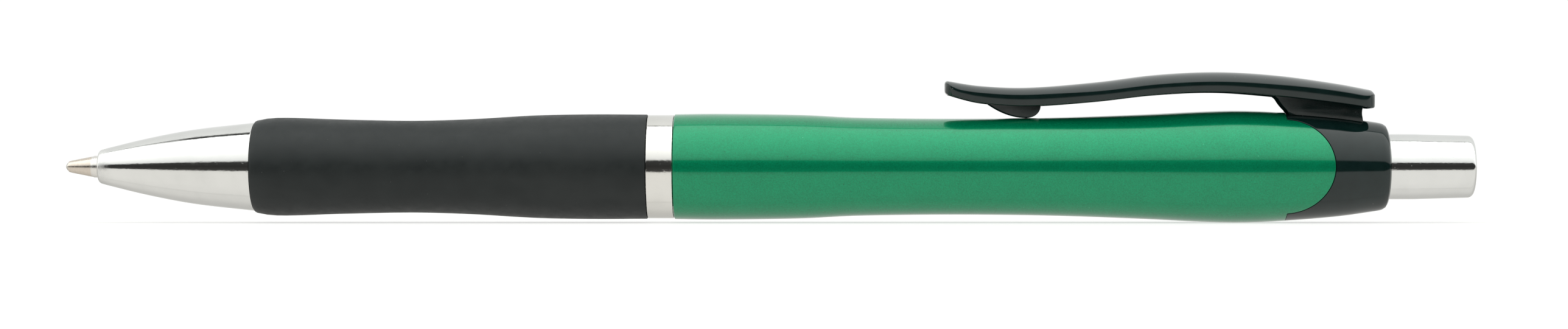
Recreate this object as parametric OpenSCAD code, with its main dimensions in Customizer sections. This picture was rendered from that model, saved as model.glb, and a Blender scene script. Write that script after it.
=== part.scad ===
// Retractable ballpoint pen with a cam mechanism, in millimetres.
// The pen lies along X with its point at -X, its button at +X and its clip up.
// Stations are distances along the axis from the front of the writing ball.
// It is drawn in the writing position, with the point out.

/* [Pen] */
// Length from the ball to the end of the button, point out
pen_len = 142.6; // [141:0.1:144]
// How far the point stands out of the nose
point_out = 3.35; // [3:0.05:3.6]
// Travel of the refill from writing to retracted
retract_travel = 4.8; // [4.2:0.1:4.8]
// Extra travel of the button past the writing position
press_travel = 1.3; // [1:0.1:1.3]
// Running clearance on a radius
run_gap = 0.06; // [0.04:0.01:0.08]
// Gap between fixed pieces that meet
seam = 0.03; // [0.02:0.01:0.05]

/* [Front section] */
// Station where the nose cone meets the grip
nose_end = 19.2; // [18.5:0.1:20]
// Station where the grip meets the centre ring
grip_end = 58.95; // [58:0.05:60]
// Radius of the stiff tube under the grip
core_r = 3.7; // [3.5:0.05:3.8]
// Radius of the centre ring
ring_r = 5.24; // [5.1:0.01:5.3]
// Length of the centre ring
ring_len = 2.7; // [2:0.05:2.7]

/* [Barrel and collar] */
// Wall of the barrel at its waist
barrel_wall = 1.1; // [0.9:0.05:1.2]
// Station of the centre of the rounded tongues
tongue_station = 123.35; // [123:0.05:123.6]
// Radius of the rounded tongues, seen from the side
tongue_r = 4.75; // [4.5:0.05:4.8]
// Station of the collar's rear face
collar_end = 133.9; // [133.85:0.05:134.1]

/* [Clip] */
// Width of the clip where it is widest
clip_w = 7; // [6.6:0.1:7.2]
// Radius of the clip's front corners, seen from above
clip_front_round = 1.8; // [1.2:0.1:1.8]
// Radius of the clip's rear corners, seen from above
clip_rear_round = 1.6; // [1.2:0.1:1.8]
// Width of the post under the clip
post_w = 3.2; // [2.8:0.1:3.4]
// How far the crown's edges lie below its ridge where it is deepest
clip_crown = 1; // [0.7:0.05:1.05]
// How far the clip's sides lean in towards its underside
clip_lean = 0.16; // [0:0.02:0.2]

/* [Button] */
// Radius of the button where it leaves the collar
button_r = 3.3; // [3.2:0.01:3.35]
// Radius of the button near its end
button_end_r = 3.15; // [3:0.01:3.2]

/* [Refill] */
// Length of the refill from ball to tube end
refill_len = 107; // [106:0.1:107]
// Radius of the writing ball
ball_r = 0.5; // [0.45:0.01:0.5]
// Radius of the nib's shank
nib_r = 1.1; // [1.08:0.01:1.15]
// Outer radius of the ink tube
tube_r = 1.5; // [1.45:0.01:1.5]
// Bore radius of the ink tube
tube_bore_r = 1; // [0.9:0.05:1.05]
// Length of the ink in the tube
ink_len = 64; // [10:1:75]

/* [Spring] */
// Radius of the spring wire
wire_r = 0.2; // [0.15:0.01:0.22]
// Radius of the coil to the middle of the wire
coil_r = 1.72; // [1.7:0.01:1.75]
// Open turns between the two closed ends
open_turns = 7; // [6:1:9]

/* [Mechanism] */
// Lugs on the rotor and grooves in the sleeve
lugs = 4; // [4:4]
// Slope of the cam teeth
cam_slope = 35; // [30:1:40]
// Half the angle of a lug or key
lug_half = 9; // [8:0.5:10]
// Half the angle of a groove
groove_half = 12; // [11.5:0.5:13]

/* [Hidden] */
$fn = 96;
cut = 0.5;

// Outlines: points of [station, radius] that a smooth curve runs through
nose_knots = [[point_out, 1.67], [8.1, 2.84], [13, 3.77], [nose_end, 4.48]];
grip_knots = [[nose_end, 4.63], [20.1, 4.84], [22, 4.97], [28, 4.79], [35.2, 4.66], [41, 4.82],
    [47.6, 5.2], [53, 5.31], [grip_end, 5.29]];
body_knots = [[61.72, 5.32], [66, 5.37], [74.7, 5.25], [80, 4.99], [90, 4.87], [100, 4.98],
    [109.3, 5.31], [115, 5.59], [118.8, 5.68], [123, 5.52], [129, 5.04], [132.8, 4.5]];
body_r = 5.68;
curve_steps = 5;
body_start = body_knots[0][0];
body_end = body_knots[len(body_knots) - 1][0];
shoulder = [[133.35, 4.38], [133.65, 4.2], [133.82, 3.92], [collar_end, 3.6]];

// Inside of the front section
nib_hole_r = nib_r + run_gap;
chamber_start = 7.2;
chamber_r = 2.12;
spigot_start = 12.1;
spigot_r = 3;
core_bore_start = 24;
core_bore_r = 2.7;
flange_len = 1.5;
flange_r = 4.5;
thread_r = 4.02;
thread_end = 69.5;

// Inside of the barrel
waist_bore_r = 4.87 - barrel_wall;
web_start = 95;
web_len = 1.5;
web_hole_r = 1.75;
sleeve_r = 4;
sleeve_start = 109;
spigot_rear_start = 117.6;
spigot_rear_end = 129.5;
spigot_rear_r = 4.6;
tongue_bore_r = spigot_rear_r + seam;
fang_front = tongue_station + 0.15;
tongue_end = tongue_station + tongue_r + cut;
seat_r = sleeve_r + seam;
step_start = 70;

// Button and plunger
skirt_start = 126.5;
skirt_flange_len = 1;
skirt_flange_r = 3.62;
button_bore_r = 2.55;
button_top_wall = 1.3;
button_round = 0.55;
taper_start = 136.5;
plunger_flange_len = 1.1;
plunger_flange_r = 2.9;

// Inside of the collar: the button's flange stops at one end, the cam sleeve sits at the other
end_gap = 0.1;
sleeve_end = skirt_start - press_travel - end_gap;
cavity_start = sleeve_end + end_gap;
cavity_r = 3.75;
stop_station = skirt_start + skirt_flange_len + retract_travel + end_gap;
button_hole_r = button_r + 0.08;

// Cam teeth
tooth_front = 113.15;
rib_end = 122;
rib_r = 2.45;
groove_r = 3.05;
lug_r = 2.92;
rotor_r = 2.3;
lug_front = 109.4;
lug_back = tooth_front - 0.1;
rotor_front = refill_len - 2;
pin_r = 1.5;
pin_end = 118;
crown_r = rib_r - 0.08;
crown_bore_r = pin_r + run_gap;
crown_gap_half = 2;
key_front = 115.4;
key_back = 119.6;

// Refill
holder_front = 11;
holder_r = 1.36;
holder_flange = 19.4;
holder_flange_r = 1.98;
tube_front = 20.45;
holder_back = 24;
nib_back = 14;
nib_tail_start = 3;
nib_tail_r = 0.8;
nib_outline = [[0.3, 0.53], [0.42, 0.57], [0.6, 0.62], [2.75, 1.05], [2.9, nib_r],
    [holder_front - 0.02, nib_r]];
holder_bore_r = 0.45;
follower_len = 3;
fit_gap = 0.02;
ink_channel_r = 0.3;
spring_front = chamber_start + 0.05;
spring_back = holder_flange - 0.05;

// Clip: the line of its ridge and the line of its underside, as [station, height above the axis]
ridge_knots = [[89.05, 8.74], [92.5, 8.21], [97.3, 8.02], [104.4, 8.57], [110.5, 9.32], [116.6, 9.6],
    [122.6, 9.26], [128.8, 8.42], [132.45, 7.73]];
under_knots = [[89.05, 7.36], [92.5, 6.48], [97.3, 6.13], [104.4, 6.6], [110.5, 7.28], [116.6, 7.54],
    [122.6, 7.12], [128.8, 6.4], [132.45, 5.86]];
// Width of the clip, as a share of clip_w
width_knots = [[89.05, 0.69], [94.5, 0.72], [99.4, 0.79], [104.4, 0.9], [110.6, 0.99], [118, 1],
    [127, 0.98], [132.45, 0.95]];
// Depth of the crown, as a share of clip_crown
crown_knots = [[89.05, 0.7], [99.4, 0.78], [104.4, 0.94], [110.6, 1], [121.7, 1], [127, 0.86], [132.45, 0.8]];
clip_front = ridge_knots[0][0];
clip_back = ridge_knots[len(ridge_knots) - 1][0];
clip_end_round = 0.35;
clip_foot_round = 0.16;
bump_front = 93.4;
bump_low = 97.4;
bump_back = 98.75;
bump_w = 2.6;
clip_gap = 0.05;
post_front_top = 122.1;
post_front = 123.75;
post_back = 131.3;
post_front_low = 5.45;
post_low = 4.3;
post_lean = 0.12;
tenon_front = 125.6;
tenon_back = 130.5;
tenon_w = 2;
tenon_low = 4.3;
tenon_top = 5.6;
tenon_gap = 0.09;

// Slope of a curve at knot i, from its neighbours
function slope(k, i) =
    let (a = max(i - 1, 0), b = min(i + 1, len(k) - 1))
    (k[b][1] - k[a][1]) / (k[b][0] - k[a][0]);

// Height of the cubic between knots i and i + 1, a fraction t of the way
function cubic(k, i, t) =
    let (w = k[i + 1][0] - k[i][0])
    (2 * t * t * t - 3 * t * t + 1) * k[i][1] + (t * t * t - 2 * t * t + t) * w * slope(k, i)
    + (3 * t * t - 2 * t * t * t) * k[i + 1][1] + (t * t * t - t * t) * w * slope(k, i + 1);

// Number of the knot span that holds station s
function span(k, s, i = 0) = i >= len(k) - 2 || s < k[i + 1][0] ? i : span(k, s, i + 1);

// Height of a curve at station s
function at(k, s) = let (i = span(k, s)) cubic(k, i, (s - k[i][0]) / (k[i + 1][0] - k[i][0]));

// Points of a smooth curve from station a to station b
function curve(k, a, b) =
    let (n = max(1, round((b - a) / (k[len(k) - 1][0] - k[0][0]) * curve_steps * (len(k) - 1))))
    [for (i = [0:n]) let (s = a + (b - a) * i / n) [s, at(k, s)]];

// Points of a rounded corner of radius r about [s, h], from angle a to angle b
function corner(s, h, r, a, b, n = 6) = [for (i = [0:n]) let (q = a + (b - a) * i / n)
    [s + r * cos(q), h + r * sin(q)]];

// Swap [station, radius] to [radius, station] for a turned solid
function turned(p) = [for (q = p) [q[1], q[0]]];

// Put the pen's axis over the origin: local z is the station, local x points down
module in_frame() {
    translate([-pen_len / 2, 0, body_r]) children();
}

module on_axis() {
    in_frame() rotate([0, 90, 0]) children();
}

// A solid turned about the axis from [station, radius] points of its outside
module turn(points) {
    first = points[0][0];
    last = points[len(points) - 1][0];
    rotate_extrude() polygon(concat([[0, first]], turned(points), [[0, last]]));
}

module disc(r, a, b) {
    translate([0, 0, a]) cylinder(r = r, h = b - a);
}

module taper(r1, r2, a, b) {
    translate([0, 0, a]) cylinder(r1 = r1, r2 = r2, h = b - a);
}

module tube(r_out, r_in, a, b) {
    difference() {
        disc(r_out, a, b);
        disc(r_in, a - cut, b + cut);
    }
}

// The part of space between two angles, out to radius r
module wedge(r, half, a, b) {
    far = r / cos(half);
    translate([0, 0, a]) linear_extrude(b - a)
        polygon([[0, 0], [far * cos(half), -far * sin(half)], [far * cos(half), far * sin(half)]]);
}

// Space behind a slanted plane that crosses the radius at station s
module behind_slant(s) {
    translate([0, 0, s]) rotate([cam_slope, 0, 0]) translate([-10, -10, 0]) cube([20, 20, 30]);
}

// Space in front of the same plane
module ahead_of_slant(s) {
    translate([0, 0, s]) rotate([cam_slope, 0, 0]) translate([-10, -10, -30]) cube([20, 20, 30]);
}

// Half the rise of a slanted face that is 2 * half degrees wide at radius r
function half_rise(r, half) = r * sin(half) * tan(cam_slope);

module barrel() {
    edge = 0.08;
    side = curve(body_knots, body_start + edge, tongue_end);
    color("mediumseagreen") on_axis() difference() {
        turn(concat([[body_start, body_knots[0][1] - edge]], side));
        disc(thread_r + seam, body_start - cut, step_start);
        disc(waist_bore_r, step_start - cut, web_start);
        disc(web_hole_r, web_start - cut, web_start + web_len + cut);
        disc(waist_bore_r, web_start + web_len, sleeve_start);
        disc(seat_r, sleeve_start - seam, spigot_rear_start);
        disc(tongue_bore_r, spigot_rear_start - seam, tongue_end + cut);
        outside_tongues();
    }
}

// Everything behind the barrel's straight rear edge except the two round tongues
module outside_tongues() {
    difference() {
        translate([-8, -8, fang_front - seam]) cube([16, 16, 10]);
        side_disc(tongue_r - seam);
    }
}

// A round bar across the pen from side to side, at the tongues' centre
module side_disc(r) {
    translate([0, 8, tongue_station]) rotate([90, 0, 0]) cylinder(r = r, h = 16);
}

module clip_collar() {
    side = curve(body_knots, fang_front, body_end);
    color("dimgray") on_axis() difference() {
        union() {
            difference() {
                turn(concat(side, shoulder));
                side_disc(tongue_r + seam);
            }
            disc(spigot_rear_r, spigot_rear_start, spigot_rear_end);
        }
        disc(seat_r, spigot_rear_start - cut, cavity_start);
        disc(cavity_r, cavity_start - cut, stop_station);
        disc(button_hole_r, stop_station - cut, collar_end + cut);
        clip_slot();
    }
}

// Slot in the top of the collar for the clip's tenon
module clip_slot() {
    half = tenon_w / 2 + tenon_gap;
    deep = tenon_low - tenon_gap;
    translate([-8, -half, tenon_front - tenon_gap])
        cube([8 - deep, 2 * half, tenon_back - tenon_front + 2 * tenon_gap]);
}

module centre_ring() {
    edge = 0.08;
    a = grip_end + seam;
    b = a + ring_len;
    color("silver") on_axis() difference() {
        turn([[a, ring_r - edge], [a + edge, ring_r], [b - edge, ring_r], [b, ring_r - edge]]);
        disc(thread_r + seam, a - cut, b + cut);
    }
}

module grip_core() {
    color("slategray") on_axis() difference() {
        union() {
            disc(spigot_r, spigot_start, nose_end);
            disc(core_r, nose_end, grip_end - flange_len);
            disc(flange_r, grip_end - flange_len, grip_end);
            disc(thread_r, grip_end, thread_end);
        }
        disc(chamber_r, spigot_start - cut, core_bore_start);
        disc(core_bore_r, core_bore_start - cut, thread_end + cut);
    }
}

module grip_sleeve() {
    lip = 0.15;
    a = nose_end + seam;
    front = corner(a + lip, at(grip_knots, a) - lip, lip, 180, 100);
    body = curve(grip_knots, a + lip + 0.05, grip_end);
    color("darkslategray") on_axis() difference() {
        turn(concat(front, body));
        disc(core_r + seam, a - cut, grip_end);
        disc(flange_r + seam, grip_end - flange_len - seam, grip_end + cut);
    }
}

module nose_cone() {
    face_r = 1.32;
    face_round = 0.42;
    face = corner(point_out + face_round, face_r, face_round, 180, 110);
    body = curve(nose_knots, point_out + 2 * face_round, nose_end);
    color("silver") on_axis() difference() {
        turn(concat(face, body));
        disc(nib_hole_r, point_out - cut, chamber_start + cut);
        disc(chamber_r, chamber_start, spigot_start + cut);
        disc(spigot_r + seam, spigot_start - seam, nose_end + cut);
    }
}

// The sleeve that the mechanism runs in. Each rib ends in two slanted teeth.
module cam_sleeve() {
    rib_span = 360 / lugs - 2 * groove_half;
    tooth_half = rib_span / 4;
    mid_r = (rib_r + groove_r) / 2;
    color("ivory") on_axis() {
        difference() {
            union() {
                tube(sleeve_r, groove_r, sleeve_start, sleeve_end);
                for (i = [0:lugs - 1], j = [1, 3])
                    rotate([0, 0, 360 / lugs * i + groove_half + tooth_half * j])
                        rib(tooth_half, tooth_front + half_rise(mid_r, tooth_half));
            }
            disc(rib_r, sleeve_start, sleeve_end);
        }
    }
}

module rib(half, plane) {
    intersection() {
        disc(groove_r + 0.2, tooth_front, rib_end);
        wedge(5, half, tooth_front, rib_end);
        behind_slant(plane);
    }
}

// Crown with eight teeth in front, keys in the grooves, and a stem up inside the button
module plunger() {
    teeth = 2 * lugs;
    half = 180 / teeth - crown_gap_half;
    plane = tooth_front + half_rise(crown_r, half);
    solid_front = tooth_front + 2 * half_rise(crown_r, half);
    color("white") on_axis() {
        for (i = [0:teeth - 1]) rotate([0, 0, 360 / teeth * (i + 0.5)]) intersection() {
            tube(crown_r, crown_bore_r, tooth_front, solid_front + 0.3);
            wedge(4, half, tooth_front - cut, solid_front + cut);
            behind_slant(plane);
        }
        difference() {
            union() {
                disc(crown_r, solid_front, skirt_start - plunger_flange_len / 2);
                for (i = [0:lugs - 1]) rotate([0, 0, 360 / lugs * i]) intersection() {
                    tube(lug_r, 2, key_front, key_back);
                    wedge(4, lug_half, key_front - cut, key_back + cut);
                }
                disc(plunger_flange_r, skirt_start - plunger_flange_len, skirt_start);
                disc(button_bore_r - 0.02, skirt_start - 0.2, pen_len - button_top_wall - 0.1);
            }
            disc(crown_bore_r, solid_front - cut, pen_len - button_top_wall - 2);
        }
    }
}

// Four slanted lugs on a cup that pushes the end of the refill
module rotor() {
    color("gold") on_axis() difference() {
        union() {
            disc(rotor_r, rotor_front, lug_front + 1.2);
            taper(rotor_r, pin_r, lug_front + 1.2, lug_front + 2);
            disc(pin_r, lug_front, pin_end);
            for (i = [0:lugs - 1]) rotate([0, 0, 360 / lugs * i]) intersection() {
                disc(lug_r, lug_front, lug_back);
                wedge(4, lug_half, lug_front, lug_back);
                ahead_of_slant(lug_back - half_rise(lug_r, lug_half));
            }
        }
        disc(tube_r + run_gap, rotor_front - cut, refill_len + run_gap);
    }
}

module button_cap() {
    end = pen_len;
    top = corner(end - button_round, button_end_r - button_round, button_round, 90, 0);
    color("silver") on_axis() difference() {
        union() {
            turn(concat([[skirt_start, button_r], [taper_start, button_r]], top));
            disc(skirt_flange_r, skirt_start, skirt_start + skirt_flange_len);
        }
        disc(button_bore_r, skirt_start - cut, end - button_top_wall);
    }
}

module refill_tube() {
    color("whitesmoke") on_axis() tube(tube_r, tube_bore_r, tube_front, refill_len);
}

module ink_column() {
    color("midnightblue") on_axis()
        disc(tube_bore_r - fit_gap, holder_back + fit_gap, holder_back + ink_len);
}

module ink_follower() {
    a = holder_back + ink_len + fit_gap;
    color("khaki") on_axis() disc(tube_bore_r - fit_gap, a, a + follower_len);
}

module nib_holder() {
    color("lightgray") on_axis() difference() {
        union() {
            disc(holder_r, holder_front, holder_flange);
            disc(holder_flange_r, holder_flange, tube_front - fit_gap);
            disc(tube_bore_r - fit_gap, tube_front - cut, holder_back);
        }
        disc(nib_tail_r + fit_gap, holder_front - cut, nib_back + seam);
        disc(holder_bore_r, nib_back, holder_back + cut);
    }
}

module nib() {
    color("rosybrown") on_axis() difference() {
        union() {
            turn(nib_outline);
            disc(nib_tail_r, nib_tail_start, nib_back);
        }
        translate([0, 0, ball_r]) sphere(r = ball_r + seam);
        disc(ink_channel_r, ball_r, nib_back + cut);
    }
}

module writing_ball() {
    color("silver") on_axis() translate([0, 0, ball_r]) sphere(r = ball_r);
}

// Coil swept along a helix that has one closed turn at each end
module return_spring() {
    sides = 8;
    per_turn = 22;
    turns = open_turns + 2;
    n = turns * per_turn;
    lead = spring_back - spring_front - 2 * wire_r - 2 * closed_pitch();
    rings = [for (i = [0:n]) let (t = i / per_turn)
        [360 * t, spring_front + wire_r + coil_rise(t, turns, lead)]];
    points = [for (q = rings) for (j = [0:sides - 1]) let (
        w = 360 * (j + 0.5) / sides,
        r = coil_r + wire_r * cos(w))
        [r * cos(q[0]), r * sin(q[0]), q[1] + wire_r * sin(w)]];
    walls = [for (i = [0:n - 1]) for (j = [0:sides - 1])
        [i * sides + j, i * sides + (j + 1) % sides, (i + 1) * sides + (j + 1) % sides, (i + 1) * sides + j]];
    front = [[for (j = [0:sides - 1]) sides - 1 - j]];
    back = [[for (j = [0:sides - 1]) n * sides + j]];
    color("gainsboro") on_axis() polyhedron(points, concat(front, walls, back), convexity = 10);
}

function closed_pitch() = 2 * wire_r + 0.05;

// How far the wire's middle has risen after t turns
function coil_rise(t, turns, lead) =
    t < 1 ? closed_pitch() * t
    : t > turns - 1 ? closed_pitch() * (t - turns + 2) + lead
    : closed_pitch() + lead * (t - 1) / (turns - 2);

// How far a rounded corner of radius r draws in at a distance d from the end
function end_inset(d, r) = d >= r ? 0 : r - sqrt(r * r - (r - d) * (r - d));

// Half the clip's width at station s, before its corners are rounded
function clip_full(s) = clip_w / 2 * at(width_knots, s);

// Outline of the clip's cross-section at station s: underside, leaning sides and crowned top
function clip_ring(s) =
    let (
        front_inset = end_inset(s - clip_front, clip_front_round),
        rear_inset = end_inset(clip_back - s, clip_rear_round),
        h = clip_full(s) - max(front_inset, rear_inset),
        inset = end_inset(min(s - clip_front, clip_back - s), clip_end_round),
        top = at(ridge_knots, s) - inset,
        low = at(under_knots, s) + inset,
        share = h / clip_full(s),
        drop = clip_crown * at(crown_knots, s) * share * share,
        foot = h - clip_lean * share,
        r = clip_foot_round)
    concat(
        [[s, r - foot, low], [s, foot - r, low], [s, foot, low + r]],
        [for (i = [0:10]) let (y = h * (1 - i / 5)) [s, y, top - drop * (y / h) * (y / h)]],
        [[s, -foot, low + r]]);

module clip_arm() {
    steps = 8;
    inner = 32;
    ends = [for (i = [0:steps]) 1 - cos(90 * i / steps)];
    a = clip_front + clip_front_round;
    b = clip_back - clip_rear_round;
    stations = concat(
        [for (e = ends) clip_front + clip_front_round * e],
        [for (i = [1:inner - 1]) a + (b - a) * i / inner],
        [for (i = [steps:-1:0]) clip_back - clip_rear_round * ends[i]]);
    n = len(stations);
    m = len(clip_ring(clip_front));
    points = [for (s = stations) each clip_ring(s)];
    walls = [for (i = [0:n - 2]) for (j = [0:m - 1])
        [i * m + j, (i + 1) * m + j, (i + 1) * m + (j + 1) % m, i * m + (j + 1) % m]];
    front = [[for (j = [0:m - 1]) j]];
    back = [[for (j = [0:m - 1]) (n - 1) * m + m - 1 - j]];
    polyhedron(points, concat(front, walls, back), convexity = 6);
}

// A side view outline pushed out to width w, across the pen
module across(points, w) {
    rotate([90, 0, 0]) linear_extrude(w, center = true) polygon(points);
}

module clip_bump() {
    low = at(body_knots, bump_low) + clip_gap;
    top = at(under_knots, bump_low) + 0.3;
    under = [for (i = [0:8]) let (t = i / 8)
        [bump_front + (bump_low - bump_front) * t,
            low + (at(under_knots, bump_front) - low) * (1 - t) * (1 - t) + 0.001]];
    rise = at(under_knots, bump_back) - low;
    rear = [for (i = [1:6]) let (q = 90 * i / 6)
        [bump_low + (bump_back - bump_low) * sin(q), low + rise * (1 - cos(q))]];
    across(concat([[bump_front + 0.9, top]], under, rear, [[bump_back, top]]), bump_w);
}

module clip_post() {
    front_top = at(under_knots, post_front_top);
    back_top = at(under_knots, post_back) + 0.3;
    outline = [[post_front_top, front_top + 0.4], [post_front_top, front_top], [post_front, post_front_low],
        [post_front, post_low], [post_back, post_low], [post_back - post_lean, back_top]];
    body = [for (q = curve(body_knots, post_front_top - cut, body_end)) [q[0], q[1] + clip_gap]];
    difference() {
        across(outline, post_w);
        rotate([0, 90, 0]) turn(body);
    }
    across([[tenon_front, tenon_low], [tenon_back, tenon_low], [tenon_back, tenon_top],
        [tenon_front, tenon_top]], tenon_w);
}

module clip() {
    color("dimgray") in_frame() union() {
        clip_arm();
        clip_bump();
        clip_post();
    }
}

barrel();
clip_collar();
centre_ring();
grip_core();
grip_sleeve();
nose_cone();
cam_sleeve();
clip();
button_cap();
plunger();
refill_tube();
ink_column();
ink_follower();
nib_holder();
nib();
writing_ball();
return_spring();
rotor();
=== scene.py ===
"""Looks of the retractable ballpoint pen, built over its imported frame.

Lengths named here are in millimetres. A station is the distance along the pen from the front of the
writing ball, and a height is measured up from the pen's axis. Meshes are made in metres.
"""
import bisect
import math

import bmesh
import bpy
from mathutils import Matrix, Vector


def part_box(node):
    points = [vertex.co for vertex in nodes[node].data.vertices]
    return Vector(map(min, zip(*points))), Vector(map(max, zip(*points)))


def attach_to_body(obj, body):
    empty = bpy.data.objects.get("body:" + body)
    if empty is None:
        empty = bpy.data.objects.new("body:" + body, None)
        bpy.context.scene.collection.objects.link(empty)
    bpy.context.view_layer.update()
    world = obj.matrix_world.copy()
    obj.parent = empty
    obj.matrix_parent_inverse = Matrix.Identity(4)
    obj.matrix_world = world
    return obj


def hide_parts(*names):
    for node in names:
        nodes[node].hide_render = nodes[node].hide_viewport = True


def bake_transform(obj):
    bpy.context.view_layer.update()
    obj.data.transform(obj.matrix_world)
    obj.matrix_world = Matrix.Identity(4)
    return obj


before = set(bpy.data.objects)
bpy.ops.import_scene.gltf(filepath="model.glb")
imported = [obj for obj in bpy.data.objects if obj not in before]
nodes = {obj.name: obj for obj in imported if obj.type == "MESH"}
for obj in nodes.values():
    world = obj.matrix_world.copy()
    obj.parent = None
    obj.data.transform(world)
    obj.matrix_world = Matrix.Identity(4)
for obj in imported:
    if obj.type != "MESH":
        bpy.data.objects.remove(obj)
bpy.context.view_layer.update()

MM = 0.001
X0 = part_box("writing_ball")[0][0]
AXIS = sum(corner[2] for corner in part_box("button_cap")) / 2


def place(s, y, h):
    """The point at station s, y across and h above the axis."""
    return Vector((X0 + s * MM, y * MM, AXIS + h * MM))


# ---------------------------------------------------------------- camera and studio

VIEW_DISTANCE = 370
# The lens looks at one station, and the picture's middle is at another
LENS_STATION = 80
PICTURE_STATION = 72.78
VIEW_HEIGHT = 0.22
VIEW_WIDTH = 159.0
SENSOR = 36


def make_camera():
    data = bpy.data.cameras.new("camera")
    data.sensor_width = SENSOR
    data.lens = SENSOR * VIEW_DISTANCE / VIEW_WIDTH
    data.shift_x = (PICTURE_STATION - LENS_STATION) / VIEW_WIDTH
    data.clip_start, data.clip_end = 0.01, 50
    camera = bpy.data.objects.new("camera", data)
    camera.location = place(LENS_STATION, -VIEW_DISTANCE, VIEW_HEIGHT)
    camera.rotation_euler = (math.radians(90), 0, 0)
    bpy.context.collection.objects.link(camera)
    bpy.context.scene.camera = camera


# Brightness of the studio by angle round the pen: 0 towards the front, 90 overhead, -90 below
STUDIO = [
    (-180, 0.75), (-152, 0.62), (-128, 0.70), (-106, 0.84), (-90, 0.87), (-86, 0.82), (-83, 0.92),
    (-60, 0.97), (-23, 0.97), (-13.5, 0.93), (-10.5, 0.06), (0, 0.035), (12.5, 0.05), (16, 1.02),
    (23, 1.2), (35, 1.43), (47, 1.6), (60, 1.8), (74, 1.95), (101, 2.05), (102.3, 0.3),
    (103.8, 0.3), (105.2, 1.02), (130, 0.94), (152, 0.9), (180, 1.0),
]
# A dark edge of the lamp, which only surfaces that lean towards the pen's tip reflect
LAMP_EDGE = [(-180, 1), (95, 1), (97, 0.03), (101.5, 0.03), (103.5, 0.6), (106, 1)]
LAMP_EDGE_SPAN = (-0.5, -0.37, -0.24, -0.19)
# The tints of its lower and upper halves
STUDIO_TINTS = ((1.0, 0.99, 0.955), (0.985, 1.0, 0.99))
NO_TINTS = ((1, 1, 1), (1, 1, 1))
BRIGHTEST = 2.1
# The floor and the round wall at its edge, in metres
FLOOR_WIDTH = 12.0
WALL_SIDES = 64
WALL_RADIUS = 0.98 * FLOOR_WIDTH / 2
WALL_FOOT, WALL_TOP = -0.02, 6.0
FLOOR_GLOW = 0.6
WALL_GLOW = 1.02
# The numbers of a Mix node's colour sockets
MIX_A, MIX_B, MIX_RESULT = 6, 7, 2


def make_world():
    scene = bpy.context.scene
    scene.view_settings.view_transform = "Standard"
    world = bpy.data.worlds.new("studio")
    world.use_nodes = True
    scene.world = world
    tree = world.node_tree
    add, link = tree.nodes.new, tree.links.new
    background = tree.nodes["Background"]
    background.inputs["Strength"].default_value = BRIGHTEST
    split = add("ShaderNodeSeparateXYZ")
    link(add("ShaderNodeTexCoord").outputs["Generated"], split.inputs[0])
    front = add("ShaderNodeMath")
    front.operation = "MULTIPLY"
    front.inputs[1].default_value = -1
    link(split.outputs["Y"], front.inputs[0])
    turn = add("ShaderNodeMath")
    turn.operation = "ARCTAN2"
    link(split.outputs["Z"], turn.inputs[0])
    link(front.outputs[0], turn.inputs[1])
    share = add("ShaderNodeMapRange")
    share.inputs["From Min"].default_value = -math.pi
    share.inputs["From Max"].default_value = math.pi
    link(turn.outputs[0], share.inputs["Value"])

    def ramp(levels, brightest, tints):
        """The levels by angle round the pen, as shares of the brightest."""
        node = add("ShaderNodeValToRGB")
        link(share.outputs["Result"], node.inputs["Fac"])
        stops = node.color_ramp.elements
        for i, (angle, level) in enumerate(levels):
            where = (angle + 180) / 360
            stop = stops[i] if i < 2 else stops.new(where)
            stop.position = where
            stop.color = [c * level / brightest for c in tints[angle > 0]] + [1]
        return node.outputs["Color"]

    def rise(low, high):
        """A ramp from 0 to 1 along the pen's own direction."""
        node = add("ShaderNodeMapRange")
        node.inputs["From Min"].default_value = low
        node.inputs["From Max"].default_value = high
        link(split.outputs["X"], node.inputs["Value"])
        return node.outputs["Result"]

    lean = add("ShaderNodeMath")
    lean.operation = "MULTIPLY"
    link(rise(*LAMP_EDGE_SPAN[:2]), lean.inputs[0])
    link(rise(*LAMP_EDGE_SPAN[:1:-1]), lean.inputs[1])
    edge = add("ShaderNodeMix")
    edge.data_type, edge.blend_type = "RGBA", "MULTIPLY"
    link(lean.outputs[0], edge.inputs["Factor"])
    link(ramp(STUDIO, BRIGHTEST, STUDIO_TINTS), edge.inputs[MIX_A])
    link(ramp(LAMP_EDGE, 1, NO_TINTS), edge.inputs[MIX_B])
    link(edge.outputs[MIX_RESULT], background.inputs["Color"])


def stage_piece(name, points, faces, material):
    """A piece of the studio, which the pen doesn't reflect: it reflects the world instead."""
    mesh = bpy.data.meshes.new(name)
    mesh.from_pydata(points, [], faces)
    mesh.materials.append(material)
    obj = bpy.data.objects.new(name, mesh)
    bpy.context.collection.objects.link(obj)
    obj.visible_glossy = False
    return obj


def make_stage():
    half = FLOOR_WIDTH / 2
    square = [(-half, -half, 0), (half, -half, 0), (half, half, 0), (-half, half, 0)]
    stage_piece("floor", square, [(0, 1, 2, 3)], pale_floor())

    turns = [2 * math.pi * i / WALL_SIDES for i in range(WALL_SIDES)]
    rim = [(WALL_RADIUS * math.cos(a), WALL_RADIUS * math.sin(a)) for a in turns]
    points = [(x, y, z) for z in (WALL_FOOT, WALL_TOP) for x, y in rim]
    after = [(i + 1) % WALL_SIDES for i in range(WALL_SIDES)]
    faces = [(i, WALL_SIDES + i, WALL_SIDES + j, j) for i, j in enumerate(after)]
    wall = stage_piece("backdrop", points, faces, pale_wall())
    wall.visible_diffuse = wall.visible_shadow = wall.visible_transmission = False


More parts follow.
